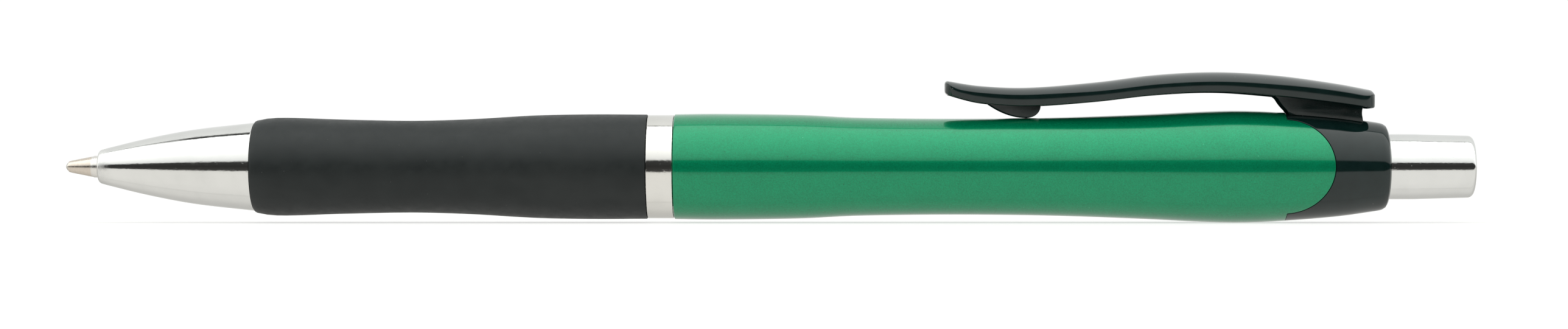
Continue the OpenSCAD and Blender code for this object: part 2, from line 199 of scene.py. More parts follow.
def pale_floor():
    """A pale table top, lit from inside so that the pen's shadow on it stays faint."""
    m = Shader("pale_floor", Roughness=0.9)
    m.set("Specular IOR Level", 0.1)
    mottle = m.range(m.noise(0.002, 2), 0.3, 0.7)
    m.join(m.blend(mottle, (0.31, 0.31, 0.305), (0.33, 0.33, 0.325)), "Base Color")
    m.set("Emission Color", (1, 1, 0.99, 1))
    m.set("Emission Strength", FLOOR_GLOW)
    m.material.cycles.emission_sampling = "NONE"
    return m.material


def pale_wall():
    m = Shader("pale_wall", Roughness=1)
    m.set("Base Color", (0, 0, 0, 1))
    m.set("Specular IOR Level", 0)
    m.set("Emission Color", (1, 1, 0.995, 1))
    m.set("Emission Strength", WALL_GLOW)
    m.material.cycles.emission_sampling = "NONE"
    return m.material


# ---------------------------------------------------------------- materials

# The stations between which the nib's colour changes from cone to shank, whose paler colour is a
# painted highlight
SHANK_START = (2.6, 2.72)


class Shader:
    """A Principled material whose textures are measured in millimetres on the object."""

    def __init__(self, name, **sockets):
        self.material = bpy.data.materials.new(name)
        self.material.use_nodes = True
        self.tree = self.material.node_tree
        self.surface = self.tree.nodes["Principled BSDF"]
        for key, value in sockets.items():
            self.set(key.replace("_", " "), value)
        coord = self.tree.nodes.new("ShaderNodeTexCoord")
        scale = self.tree.nodes.new("ShaderNodeVectorMath")
        scale.operation = "SCALE"
        scale.inputs["Scale"].default_value = 1 / MM
        self.link(coord.outputs["Object"], scale.inputs[0])
        self.spot = scale.outputs[0]

    def set(self, socket, value):
        self.surface.inputs[socket].default_value = value

    def link(self, a, b):
        self.tree.links.new(a, b)

    def join(self, output, socket):
        self.link(output, self.surface.inputs[socket])

    def feed(self, socket, value):
        """Give a node's socket a number, a colour or another node's output."""
        if isinstance(value, bpy.types.NodeSocket):
            self.link(value, socket)
        elif isinstance(value, tuple) and len(value) == 3 and len(socket.default_value) == 4:
            socket.default_value = (*value, 1)
        else:
            socket.default_value = value

    def stretched(self, x, y, z):
        node = self.tree.nodes.new("ShaderNodeVectorMath")
        node.operation = "MULTIPLY"
        self.link(self.spot, node.inputs[0])
        node.inputs[1].default_value = (x, y, z)
        return node.outputs[0]

    def station(self):
        """The distance along the pen, for pieces that share the frame's origin."""
        node = self.tree.nodes.new("ShaderNodeSeparateXYZ")
        self.link(self.spot, node.inputs[0])
        return self.math("SUBTRACT", node.outputs["X"], X0 / MM)

    def noise(self, scale, detail=2.0, rough=0.5, at=None):
        node = self.tree.nodes.new("ShaderNodeTexNoise")
        self.link(at or self.spot, node.inputs["Vector"])
        for key, value in (("Scale", scale), ("Detail", detail), ("Roughness", rough)):
            node.inputs[key].default_value = value
        return node.outputs["Fac"]

    def cells(self, scale):
        """A colour of its own for each small cell."""
        node = self.tree.nodes.new("ShaderNodeTexVoronoi")
        self.link(self.spot, node.inputs["Vector"])
        node.inputs["Scale"].default_value = scale
        return node.outputs["Color"]

    def math(self, operation, a, b=0.0):
        node = self.tree.nodes.new("ShaderNodeMath")
        node.operation = operation
        self.feed(node.inputs[0], a)
        self.feed(node.inputs[1], b)
        return node.outputs[0]

    def range(self, value, low, high, to_low=0.0, to_high=1.0):
        node = self.tree.nodes.new("ShaderNodeMapRange")
        self.link(value, node.inputs["Value"])
        limits = {"From Min": low, "From Max": high, "To Min": to_low, "To Max": to_high}
        for key, number in limits.items():
            node.inputs[key].default_value = number
        return node.outputs["Result"]

    def blend(self, share, a, b):
        node = self.tree.nodes.new("ShaderNodeMix")
        node.data_type = "RGBA"
        self.feed(node.inputs["Factor"], share)
        self.feed(node.inputs[MIX_A], a)
        self.feed(node.inputs[MIX_B], b)
        return node.outputs[MIX_RESULT]

    def flecks(self, scale, size, share):
        """1 on small round flecks, in a share of the cells, and 0 elsewhere."""
        pick = self.tree.nodes.new("ShaderNodeSeparateColor")
        voronoi = self.tree.nodes.new("ShaderNodeTexVoronoi")
        voronoi.inputs["Scale"].default_value = scale
        self.link(self.spot, voronoi.inputs["Vector"])
        self.link(voronoi.outputs["Color"], pick.inputs[0])
        near = self.range(voronoi.outputs["Distance"], size * scale, 0.55 * size * scale)
        return self.math("MULTIPLY", near, self.math("LESS_THAN", pick.outputs[0], share))

    def bump(self, height, depth, under=None, socket="Normal"):
        """Raise the surface by up to depth millimetres."""
        node = self.tree.nodes.new("ShaderNodeBump")
        node.inputs["Distance"].default_value = depth * MM
        self.link(height, node.inputs["Height"])
        if under:
            self.link(under, node.inputs["Normal"])
        self.join(node.outputs["Normal"], socket)
        return node.outputs["Normal"]


def chrome(name, tint, rough=0.05, pitted=0.12, worn=None):
    """Bright plated metal. It is worn matt between the two stations of worn, most at the first."""
    m = Shader(name, Metallic=1)
    stain = m.range(m.noise(0.35, 3), 0.35, 0.7)
    m.join(m.blend(stain, tint, tuple(0.95 * c for c in tint)), "Base Color")
    streaks = m.noise(1.5, 4, 0.6, m.stretched(0.25, 1, 1))
    wear = m.range(streaks, 0.3, 0.75, 0.6 * rough, 1.8 * rough)
    smudge = m.range(m.noise(0.7, 4, 0.65), 0.56, 0.72, 0, 0.09)
    rubbed = m.math("ADD", wear, smudge)
    if worn:
        near = m.range(m.station(), worn[0], worn[1], 0.34, 0)
        uneven = m.range(m.noise(3, 4, 0.7), 0.3, 0.6, 0.5, 1)
        rubbed = m.math("ADD", rubbed, m.math("MULTIPLY", near, uneven))
    m.join(rubbed, "Roughness")
    ripple = m.bump(m.noise(2.6, 3, 0.6), 0.004)
    grit = m.bump(m.range(m.noise(6, 4, 0.75), 0.7, 0.8), 0.0012, ripple)
    pits = m.bump(m.flecks(2.4, 0.035, pitted), -0.008, grit)
    scratches = m.range(m.noise(1.2, 5, 0.8, m.stretched(0.5, 5, 5)), 0.6, 0.68)
    m.bump(scratches, -0.0008, pits)
    return m.material


def green_pearl():
    m = Shader("green_pearl", Metallic=0.53, Roughness=0.24)
    m.set("Specular IOR Level", 0.08)
    m.set("Coat Weight", 0.72)
    m.set("Coat Roughness", 0.025)
    m.set("Coat IOR", 1.5)
    dark, light = (0.0, 0.126, 0.051), (0.0, 0.358, 0.154)
    flake = m.range(m.cells(12), 0.0, 1.0, 0.33, 0.67)
    grain = m.range(m.noise(8, 3, 0.75), 0.25, 0.75, -0.14, 0.14)
    cloud = m.range(m.noise(0.5, 2), 0.3, 0.7, -0.03, 0.03)
    tone = m.math("ADD", m.math("ADD", flake, grain), cloud)
    base = m.blend(tone, dark, light)
    base = m.blend(m.flecks(1.1, 0.05, 0.3), base, (0.0, 0.05, 0.03))
    base = m.blend(m.flecks(0.9, 0.045, 0.25), base, (0.1, 0.5, 0.3))
    m.join(base, "Base Color")
    m.bump(m.cells(12), 0.002)
    m.bump(m.noise(1.4, 2), 0.002, socket="Coat Normal")
    return m.material


def black_plastic(name, rough=0.07, level=0.5):
    m = Shader(name)
    m.set("Specular IOR Level", level)
    haze = m.range(m.noise(0.8, 3), 0.35, 0.7)
    base = m.blend(haze, (0.002, 0.009, 0.008), (0.004, 0.013, 0.012))
    dust = m.flecks(1.3, 0.05, 0.16)
    m.join(m.blend(dust, base, (0.14, 0.145, 0.135)), "Base Color")
    smears = m.noise(1.1, 4, 0.6, m.stretched(0.4, 1, 1))
    smear = m.range(smears, 0.3, 0.75, 0.7 * rough, 1.6 * rough)
    m.join(m.math("ADD", smear, m.math("MULTIPLY", dust, 0.4)), "Roughness")
    m.bump(dust, 0.01, m.bump(m.noise(1.3, 2), 0.002))
    return m.material


def black_rubber():
    m = Shader("grip_rubber")
    m.set("Specular IOR Level", 0.38)
    bloom = m.range(m.noise(0.6, 3), 0.3, 0.7)
    base = m.blend(bloom, (0.0045, 0.008, 0.0078), (0.008, 0.012, 0.0117))
    grime = m.range(m.noise(0.25, 2, 0.5, m.stretched(0.3, 1, 1)), 0.45, 0.7)
    base = m.blend(m.math("MULTIPLY", grime, 0.35), base, (0.022, 0.025, 0.024))
    dust = m.flecks(1.4, 0.05, 0.2)
    m.join(m.blend(dust, base, (0.05, 0.053, 0.05)), "Base Color")
    m.join(m.range(m.noise(1.2, 4, 0.6), 0.3, 0.7, 0.42, 0.54), "Roughness")
    grain = m.bump(m.noise(11, 3, 0.6), 0.004)
    m.bump(dust, 0.015, grain)
    return m.material


def nickel_silver():
    """The nib's metal: its turned cone is warmer than its shank, whose paler colour is a painted
    highlight.
    """
    m = Shader("nickel_silver", Metallic=1)
    cutting_marks = m.noise(1.6, 3, 0.7, m.stretched(7, 0.6, 0.6))
    marked = m.range(cutting_marks, 0.3, 0.7)
    turned_cone = m.blend(marked, (0.63, 0.56, 0.48), (0.70, 0.63, 0.55))
    # The shank's paler, brighter colour is a painted highlight, not a different metal
    shank_painted_highlight = m.range(m.station(), *SHANK_START)
    m.join(m.blend(shank_painted_highlight, turned_cone, (0.76, 0.74, 0.70)), "Base Color")
    m.join(m.range(m.noise(4, 3), 0.3, 0.7, 0.2, 0.32), "Roughness")
    m.bump(cutting_marks, 0.0003)
    return m.material


def hard_metal():
    m = Shader("hard_metal", Metallic=1)
    cloud = m.range(m.noise(5, 2), 0.3, 0.7)
    m.join(m.blend(cloud, (0.58, 0.55, 0.5), (0.66, 0.63, 0.58)), "Base Color")
    m.join(m.range(m.noise(8, 3), 0.3, 0.7, 0.12, 0.25), "Roughness")
    return m.material


def spring_steel():
    m = Shader("spring_steel", Metallic=1)
    cloud = m.range(m.noise(3, 3), 0.3, 0.7)
    m.join(m.blend(cloud, (0.42, 0.42, 0.43), (0.58, 0.58, 0.59)), "Base Color")
    m.join(m.range(m.noise(9, 3), 0.3, 0.7, 0.18, 0.34), "Roughness")
    m.bump(m.noise(14, 2, 0.5), 0.003)
    return m.material


def moulded(name, light, dark, rough=0.35, **more):
    """A plain injection moulded plastic with faint flow marks."""
    m = Shader(name)
    for key, value in more.items():
        m.set(key.replace("_", " "), value)
    flow = m.noise(0.5, 3, 0.6, m.stretched(0.3, 1, 1))
    m.join(m.blend(m.range(flow, 0.3, 0.7), light, dark), "Base Color")
    m.join(m.range(m.noise(1.6, 3), 0.3, 0.7, 0.85 * rough, 1.15 * rough), "Roughness")
    m.bump(m.noise(3, 3), 0.003)
    return m.material


# ---------------------------------------------------------------- outlines read from the frame

# Points nearer than this are the same point
SAME = 0.003
# An outline that turns by more than this at a point has a corner there
CORNER = math.radians(25)


def circles(node, least=9):
    """The circles of vertices in a node, as (station, radius), and which of them its edges join."""
    mesh = nodes[node].data
    found, owner = [], {}
    for v in sorted(mesh.vertices, key=lambda v: v.co.x):
        s, r = (v.co.x - X0) / MM, math.hypot(v.co.y, v.co.z - AXIS) / MM
        k = len(found) - 1
        while k >= 0 and s - found[k][0] < SAME and abs(r - found[k][1]) >= SAME:
            k -= 1
        if k < 0 or s - found[k][0] >= SAME:
            found.append([s, r, 0])
            k = len(found) - 1
        found[k][2] += 1
        owner[v.index] = k
    kept = [k for k, f in enumerate(found) if f[2] >= least]
    joined = {k: set() for k in kept}
    for e in mesh.edges:
        a, b = (owner[i] for i in e.vertices)
        if a != b and a in joined and b in joined:
            joined[a].add(b)
            joined[b].add(a)
    return {k: tuple(found[k][:2]) for k in kept}, joined


def outline(node):
    """A turned node's outline as (station, radius) points in order. Returns (points, closed)."""
    spots, joined = circles(node)
    ends = [k for k in spots if len(joined[k]) == 1]
    chain = [min(ends or spots, key=lambda k: spots[k])]
    while True:
        ahead = [k for k in joined[chain[-1]] if k not in chain]
        if not ahead:
            break
        chain.append(min(ahead, key=lambda k: math.dist(spots[k], spots[chain[-1]])))
    points = [spots[k] for k in chain]
    if not ends:
        return points, True
    return [(points[0][0], 0.0), *points, (points[-1][0], 0.0)], False


def turn_at(a, b, c):
    """The angle that a path a, b, c turns by at b."""
    u, v = (b[0] - a[0], b[1] - a[1]), (c[0] - b[0], c[1] - b[1])
    return math.atan2(u[0] * v[1] - u[1] * v[0], u[0] * v[0] + u[1] * v[1])


def smooth(points, step):
    """A smooth curve through points, with a point about every step."""
    if len(points) < 3:
        return list(points)
    t = [0.0]
    for a, b in zip(points, points[1:]):
        t.append(t[-1] + math.dist(a, b))
    last = len(points) - 1
    slopes = []
    for i in range(last + 1):
        a, b = max(i - 1, 0), min(i + 1, last)
        slopes.append([(points[b][j] - points[a][j]) / (t[b] - t[a]) for j in (0, 1)])
    out = [tuple(points[0])]
    for i in range(last):
        w = t[i + 1] - t[i]
        n = max(1, round(w / step))
        for k in range(1, n + 1):
            u = k / n
            a, b = 2 * u**3 - 3 * u**2 + 1, u**3 - 2 * u**2 + u
            c, d = 3 * u**2 - 2 * u**3, u**3 - u**2
            out.append(tuple(a * points[i][j] + b * w * slopes[i][j] + c * points[i + 1][j]
                             + d * w * slopes[i + 1][j] for j in (0, 1)))
    return out


def refined(points, closed, step):
    """The same outline with its smooth runs resampled, and the places of its corners, all kept."""
    n = len(points)
    sharp = [i for i in range(n) if (not closed and i in (0, n - 1))
             or abs(turn_at(points[i - 1], points[i], points[(i + 1) % n])) > CORNER]
    out, corners = [], []
    pairs = zip(sharp, sharp[1:] + [sharp[0] + n]) if closed else zip(sharp, sharp[1:])
    for a, b in pairs:
        run = smooth([points[i % n] for i in range(a, b + 1)], step)
        corners.append(len(out))
        out += run[:-1]
    if not closed:
        corners.append(len(out))
        out.append(points[-1])
    return out, corners


def rounded(points, closed, corners, radius, arc=4):
    """The outline with its corners rounded. A point beside each arc keeps the flats flat."""
    n = len(points)
    out = []
    for i, p in enumerate(points):
        if i not in corners or (not closed and i in (0, n - 1)):
            out.append(p)
            continue
        a, c = points[i - 1], points[(i + 1) % n]
        bend = abs(turn_at(a, p, c))
        near, far = math.dist(a, p), math.dist(p, c)
        reach = min(radius * math.tan(bend / 2), 0.4 * near, 0.4 * far)
        if bend < 0.02 or reach < 1e-4:
            out.append(p)
            continue
        u = ((a[0] - p[0]) / near, (a[1] - p[1]) / near)
        v = ((c[0] - p[0]) / far, (c[1] - p[1]) / far)
        hold = min(0.5 * reach, 0.03)
        start = tuple(p[j] + u[j] * reach for j in (0, 1))
        end = tuple(p[j] + v[j] * reach for j in (0, 1))
        out.append((p[0] + u[0] * (reach + hold), p[1] + u[1] * (reach + hold)))
        for k in range(arc + 1):
            # A circle's arc, as a weighted curve between its two tangent points
            q, w = k / arc, math.cos(bend / 2)
            b0, b1, b2 = (1 - q) ** 2, 2 * q * (1 - q) * w, q**2
            total = b0 + b1 + b2
            out.append(tuple((b0 * start[j] + b1 * p[j] + b2 * end[j]) / total for j in (0, 1)))
        out.append((p[0] + v[0] * (reach + hold), p[1] + v[1] * (reach + hold)))
    return out


# ---------------------------------------------------------------- meshes

TURNED_SIDES = 160


def finish_piece(name, mesh, body, replaced, slot, *materials):
    """Make the object that stands for a CAD part. A piece given no body is left unattached."""
    bm = bmesh.new()
    bm.from_mesh(mesh)
    bmesh.ops.recalc_face_normals(bm, faces=bm.faces)
    bm.to_mesh(mesh)
    bm.free()
    mesh.polygons.foreach_set("use_smooth", [True] * len(mesh.polygons))
    obj = bpy.data.objects.new(name, mesh)
    bpy.context.collection.objects.link(obj)
    for m in materials:
        mesh.materials.append(m)
    if body:
        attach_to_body(obj, body)
    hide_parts(replaced)
    return obj


def skin(name, rows, columns, closed):
    """A mesh through rows of (station, radius) with a pair for each column.

    A row of radius 0 is a point. A closed skin runs from its last row back to its first.
    """
    points, faces, index = [], [], []
    for row in rows:
        if max(r for _, r in row) < 1e-6:
            index.append([len(points)] * len(columns))
            points.append(place(row[0][0], 0, 0))
            continue
        index.append(list(range(len(points), len(points) + len(columns))))
        points += [place(s, r * math.sin(a), r * math.cos(a)) for (s, r), a in zip(row, columns)]
    spans = list(zip(index, index[1:])) + ([(index[-1], index[0])] if closed else [])
    for a, b in spans:
        for j in range(len(columns)):
            k = (j + 1) % len(columns)
            corner = list(dict.fromkeys((a[j], a[k], b[k], b[j])))
            if len(corner) > 2:
                faces.append(corner)
    mesh = bpy.data.meshes.new(name)
    mesh.from_pydata(points, [], faces)
    return mesh


def turned(name, node, body, slot, material, edge=0.05, step=0.4):
    """Rebuild a turned node as a smooth piece with softened edges."""
    points, closed = outline(node)
    points, corners = refined(points, closed, step)
    points = rounded(points, closed, corners, edge)
    columns = [2 * math.pi * i / TURNED_SIDES for i in range(TURNED_SIDES)]
    rows = [[p] * TURNED_SIDES for p in points]
    finish_piece(name, skin(name, rows, columns, closed), body, node, slot, material)


# ---------------------------------------------------------------- barrel and collar

# The round tongue at each side of the barrel's rear edge, and the collar that fits round it
TONGUE_STATION = 123.35
TONGUE_R = 4.75
FANG_FRONT = 123.5
# Half of the gap between barrel and collar, and how round its edges are
SEAM = 0.03
SEAM_ROUND = 0.035
# Distances of the rows of points that follow the seam
NEAR_EDGE = [0, 0.012, 0.03, 0.05, 0.075, 0.11, 0.17, 0.27, 0.42, 0.65, 1.0]
# How far ahead of the seam the barrel's rows start to bend towards it, and how many bend
EDGE_RUN = 6.4
BARREL_BENDS = 14
COLLAR_BENDS = 12
BARREL_STEP = 0.45
# The least run between the collar's first rows behind the seam, its steps and its rounding
COLLAR_CLEAR = 0.3
COLLAR_STEP = 0.25
COLLAR_ROUND = 0.12
# Every circle of the collar behind the tongues that is wider than this is on its outside
OUTSIDE_R = 3.9
# How far behind the seam's front a column is tested for being within the round cut
PROBE = 0.12
HALVINGS = 40
# The step of the smooth curve along their outside
CURVE_STEP = 0.1
# Turns round the tongue, in degrees, that columns pass through, and the rest as shares of the last
TONGUE_TURNS = [3.0 * k for k in range(29)] + [86, 87.3, 88.2]
TIP_SHARES = (0.985, 0.96, 0.92, 0.85, 0.75, 0.63, 0.5, 0.37, 0.25, 0.12, 0.0)


class Body:
    """The outside of the barrel and collar as one smooth curve, and the circles of both pieces."""

    def __init__(self):
        self.spigot_front = (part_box("clip_collar")[0][0] - X0) / MM
        self.barrel = sorted(circles("barrel")[0].values())
        self.collar = sorted(circles("clip_collar")[0].values())
        self.spigot_r = max(r for s, r in self.collar if s < self.spigot_front + SAME)
        self.sleeve_r = min(r for _, r in self.barrel if r > self.spigot_r)
        self.front = self.barrel[0][0]
        barrel = [(s, r) for s, r in self.barrel
                  if r > self.sleeve_r + SAME and self.front + SAME < s < FANG_FRONT]
        self.front_round = barrel[0][0] - self.front
        self.rear = self.collar[-1][0]
        self.hole_r = min(r for s, r in self.collar if s > self.rear - SAME)
        rear_face = self.rear - SAME
        self.collar_outside = [
            (s, r) for s, r in self.collar
            if s > FANG_FRONT and (r > OUTSIDE_R or s > rear_face and r > self.hole_r + SAME)]
        collar = [(s, r) for s, r in self.collar_outside
                  if r > self.sleeve_r and s > FANG_FRONT + 0.5]
        lead = (self.front, 2 * barrel[0][1] - barrel[1][1])
        curve = smooth([lead, *barrel, *collar], CURVE_STEP)
        self.s, self.r = [p[0] for p in curve], [p[1] for p in curve]

    def radius(self, s):
        i = min(max(bisect.bisect(self.s, s) - 1, 0), len(self.s) - 2)
        t = (s - self.s[i]) / (self.s[i + 1] - self.s[i])
        return self.r[i] + t * (self.r[i + 1] - self.r[i])

    def edge(self, angle, r_cut, front):
        """Station of the edge of the round cut of radius r_cut, at an angle from the top."""
        def inside(s):
            height = self.radius(s) * math.cos(angle)
            return (s - TONGUE_STATION) ** 2 + height**2 < r_cut**2

        low, high = front, TONGUE_STATION + r_cut + 0.5
        if not inside(low + PROBE):
            return front
        for _ in range(HALVINGS):
            mid = (low + high) / 2
            low, high = (mid, high) if inside(max(mid, front + PROBE)) else (low, mid)
        return max(low, front)

    def columns(self):
        """Angles from the top, closer together where the tongue's edge runs along the pen."""
        quarter = []
        for turn in TONGUE_TURNS:
            h = TONGUE_R * math.sin(math.radians(turn))
            s = TONGUE_STATION + TONGUE_R * math.cos(math.radians(turn))
            quarter.append(math.acos(h / self.radius(s)))
        last = quarter[-1]
        quarter += [last * share for share in TIP_SHARES]
        full = {round(sign * a + shift, 9) % round(2 * math.pi, 9) for a in quarter
                for sign, shift in ((1, 0), (-1, 2 * math.pi), (-1, math.pi), (1, math.pi))}
        out = []
        for a in sorted(full):
            if not out or a - out[-1] > 1e-6:
                out.append(a)
        if 2 * math.pi - out[-1] < 1e-6:
            out.pop()
        return out


def soften(d):
    """How far the surface dips at a distance d from its edge."""
    if d >= SEAM_ROUND:
        return 0.0
    return SEAM_ROUND - math.sqrt(SEAM_ROUND**2 - (SEAM_ROUND - max(d, 0)) ** 2)


def inside_chain(points, start):
    """Bore steps in order from the rear. Points at one station start with the nearest radius."""
    left, here, out = list(points), start, []
    while left:
        station = max(s for s, _ in left)
        here = min((p for p in left if station - p[0] < 0.02), key=lambda p: abs(p[1] - here[1]))
        left.remove(here)
        out.append(here)
    return out


def make_barrel(body, material):
    columns = body.columns()
    r_cut, front = TONGUE_R - SEAM, FANG_FRONT - SEAM
    edges = [body.edge(a, r_cut, front) for a in columns]
    start = front - EDGE_RUN

    def spot(s, a):
        r = body.radius(s)
        h = abs(r * math.cos(a))
        if s <= TONGUE_STATION or h >= r_cut:
            d = math.hypot(front - s, max(0, r_cut - h)) if h < r_cut else front - s
        else:
            d = r_cut - math.hypot(s - TONGUE_STATION, h)
        return (s, r - soften(d))

    rows = []
    # the rounded front edge, a row for every 15 degrees
    round_r = body.front_round
    for k in range(7):
        q = math.radians(15 * k)
        s = body.front + round_r * (1 - math.sin(q))
        rows.insert(0, [(s, body.radius(s) - round_r * (1 - math.cos(q)))] * len(columns))
    straight = start - body.front - round_r
    count = round(straight / BARREL_STEP)
    for k in range(1, count + 1):
        s = body.front + round_r + straight * k / count
        rows.append([(s, body.radius(s))] * len(columns))
    for k in range(1, BARREL_BENDS):
        share = k / BARREL_BENDS
        rows.append([spot(start + (e - NEAR_EDGE[-1] - start) * share, a)
                     for e, a in zip(edges, columns)])
    for gap in reversed(NEAR_EDGE):
        rows.append([spot(e - gap, a) for e, a in zip(edges, columns)])
    rows.append([(e, body.sleeve_r) for e in edges])
    bores = [p for p in body.barrel if p[1] < body.sleeve_r + SAME and p[0] < FANG_FRONT - 1]
    for p in inside_chain(bores, (FANG_FRONT, body.sleeve_r)):
        rows.append([p] * len(columns))
    mesh = skin("barrel_shell", rows, columns, True)
    finish_piece("barrel_shell", mesh, "housing", "barrel", "green_barrel", material)


def make_collar(body, material):
    columns = body.columns()
    r_cut, front = TONGUE_R + SEAM, FANG_FRONT
    edges = [body.edge(a, r_cut, front) for a in columns]
    join = TONGUE_STATION + r_cut + NEAR_EDGE[-1] + COLLAR_CLEAR

    def spot(s, a):
        r = body.radius(s)
        d = min(s - front, math.hypot(s - TONGUE_STATION, r * math.cos(a)) - r_cut)
        return (s, r - soften(d))

    rows = [[(e, body.spigot_r) for e in edges]]
    for gap in NEAR_EDGE:
        rows.append([spot(e + gap, a) for e, a in zip(edges, columns)])
    for k in range(1, COLLAR_BENDS + 1):
        share = k / COLLAR_BENDS
        rows.append([spot(e + NEAR_EDGE[-1] + (join - e - NEAR_EDGE[-1]) * share, a)
                     for e, a in zip(edges, columns)])
    hole = (body.rear, body.hole_r)
    behind = [p for p in body.collar_outside if p[0] > join + COLLAR_CLEAR]
    tail = [(join, body.radius(join)), *behind, hole]
    inner = [p for p in body.collar if p[1] < body.spigot_r - SAME and p[0] < body.rear - SAME
             and p not in body.collar_outside]
    inner.append((body.spigot_front, body.spigot_r))
    path, corners = refined(tail + inside_chain(inner, hole), False, COLLAR_STEP)
    path = rounded(path, False, corners, COLLAR_ROUND)
    rows += [[p] * len(columns) for p in path[1:]]
    mesh = skin("collar_shell", rows, columns, True)
    finish_piece("collar_shell", mesh, "housing", "clip_collar", "black_gloss", material)


# ---------------------------------------------------------------- clip

# The bump and the post under the arm: stations, half widths and the rounding of their rims
BUMP = {"front": 93.4, "low": 97.4, "back": 98.75, "half": 1.3, "round": 0.08}
POST = {"front_top": 122.6, "front": 123.85, "back": 131.3, "half": 1.6, "round": 0.045}
# The height where the post's front face ends, how far that face swells forward and down, and how
# far it flares forward and up into the arm
FRONT_FOOT = 5.45
FRONT_SWELL = (0.10, 0.05)
FRONT_FLARE = (0.25, 0.05)
FRONT_STEPS = 6
# How deep the post's back is hollowed
BACK_HOLLOW = 0.12
BACK_STEPS = 7
# The gaps under the bump and under the post's foot
CLIP_GAP = 0.015
FOOT_GAP = 0.02
# How far behind the front face the foot's points start
FOOT_START = 0.06
FOOT_STEPS = 24
BUMP_CURVE_STEPS = 24
BUMP_TURN_STEPS = 12
# How deep the bump and the post run into the arm, and how far behind the bump's front that starts
OVERLAP = 0.35
BUMP_ROOT = 1.2
# A section of the arm has at least so many points, and its ridge is in the middle
ARM_POINTS = 13
# Places across the arm nearer than this are the same
CLOSE = 0.01
# Its underside's points are this share of its half width out or more, and this far below its edge
UNDER_SHARE = 0.6
UNDER_DROP = 0.05
# A section with fewer points there than this has no bump or post under it
FOOT_POINTS = 5
# How deep the arm's side is where a section has no such points
THIN_SIDE = 0.3
# The arm ahead of this station has no bump or post under it
ARM_TIP_END = 92
# Only the faces of the arm's flat underside and of its two ends are wider than this
NARROW_FACE = 1.5
# How far behind the bump's lowest point and the post's front their matt faces reach, which have no
# reflection at all: painted shade
BUMP_SHADE = 0.4
POST_SHADE = 0.03
# The arm's cross-section: its sides lean in by SIDE_LEAN, and less where it is narrow
SIDE_LEAN = 0.16
FULL_LEAN_HALF = 2.4
ARM_ROUND = 0.14
CROWN_SHARES = (0, 0.12, 0.25, 0.38, 0.5, 0.62, 0.73, 0.83, 0.91, 0.96, 1)
SIDE_SHARES = (0.2, 0.4, 0.6, 0.8, 1)


def read_arm():
    """The arm's sections: the station, ridge, half width, crown's edge and underside of each."""
    groups = {}
    for v in nodes["clip"].data.vertices:
        s, y, h = (v.co.x - X0) / MM, v.co.y / MM, (v.co.z - AXIS) / MM
        groups.setdefault(round(s / SAME), []).append((s, y, h))
    keys = sorted(groups)
    merged = []
    for k in keys:
        if merged and groups[k][0][0] - merged[-1][0][0] < SAME:
            merged[-1] += groups[k]
        else:
            merged.append(list(groups[k]))
    arm = []
    for g in merged:
        spots = {(round(y, 2), round(h, 2)) for _, y, h in g}
        ridge = max(g, key=lambda p: p[2])
        wide = max(g, key=lambda p: abs(p[1]))
        if len(spots) < ARM_POINTS or abs(ridge[1]) > CLOSE:
            continue
        reach = UNDER_SHARE * abs(wide[1])
        under = [p for p in g if abs(p[1]) > reach and p[2] < wide[2] - UNDER_DROP]
        plain = len(under) < FOOT_POINTS
        own = [p for p in under
               if plain or p[0] < ARM_TIP_END or abs(p[1]) > POST["half"] + CLOSE]
        low = min((p[2] for p in own or under), default=wide[2] - THIN_SIDE)
        arm.append((ridge[0], ridge[2], abs(wide[1]), wide[2], low))
    return arm


def value(line, s):
    """The height of a line of (station, height) points at station s."""
    xs = [p[0] for p in line]
    i = min(max(bisect.bisect(xs, s) - 1, 0), len(xs) - 2)
    t = (s - xs[i]) / (xs[i + 1] - xs[i])
    return line[i][1] + t * (line[i + 1][1] - line[i][1])


def arm_section(top, half, edge, low):
    """Half of the arm's cross-section, from its ridge round to the middle of its underside."""
    drop, side = top - edge, edge - low
    lean = SIDE_LEAN * min(1, half / FULL_LEAN_HALF)
    crown = [(half * t, top - drop * t * t) for t in CROWN_SHARES]
    wall = [(half - lean * q**2.2, edge - side * q) for q in SIDE_SHARES]
    points = crown + wall + [(0, low)]
    return rounded(points, False, [len(crown) - 1, len(points) - 2], ARM_ROUND, arc=5)


def arm_mesh(arm):
    """The arm's points and faces, and the line of its underside."""
    lines = [smooth([(a[0], a[i]) for a in arm], 0.22) for i in (1, 2, 3, 4)]
    stations = sorted({round(p[0], 4) for p in lines[0]})
    rings, points, faces = [], [], []
    for s in stations:
        half_ring = arm_section(*(value(line, s) for line in lines))
        ring = half_ring + [(-y, z) for y, z in reversed(half_ring[1:-1])]
        rings.append(list(range(len(points), len(points) + len(ring))))
        points += [place(s, y, z) for y, z in ring]
    for a, b in zip(rings, rings[1:]):
        n = len(a)
        faces += [(a[j], a[(j + 1) % n], b[(j + 1) % n], b[j]) for j in range(n)]
    faces += [rings[0][::-1], rings[-1]]
    return points, faces, lines[3]


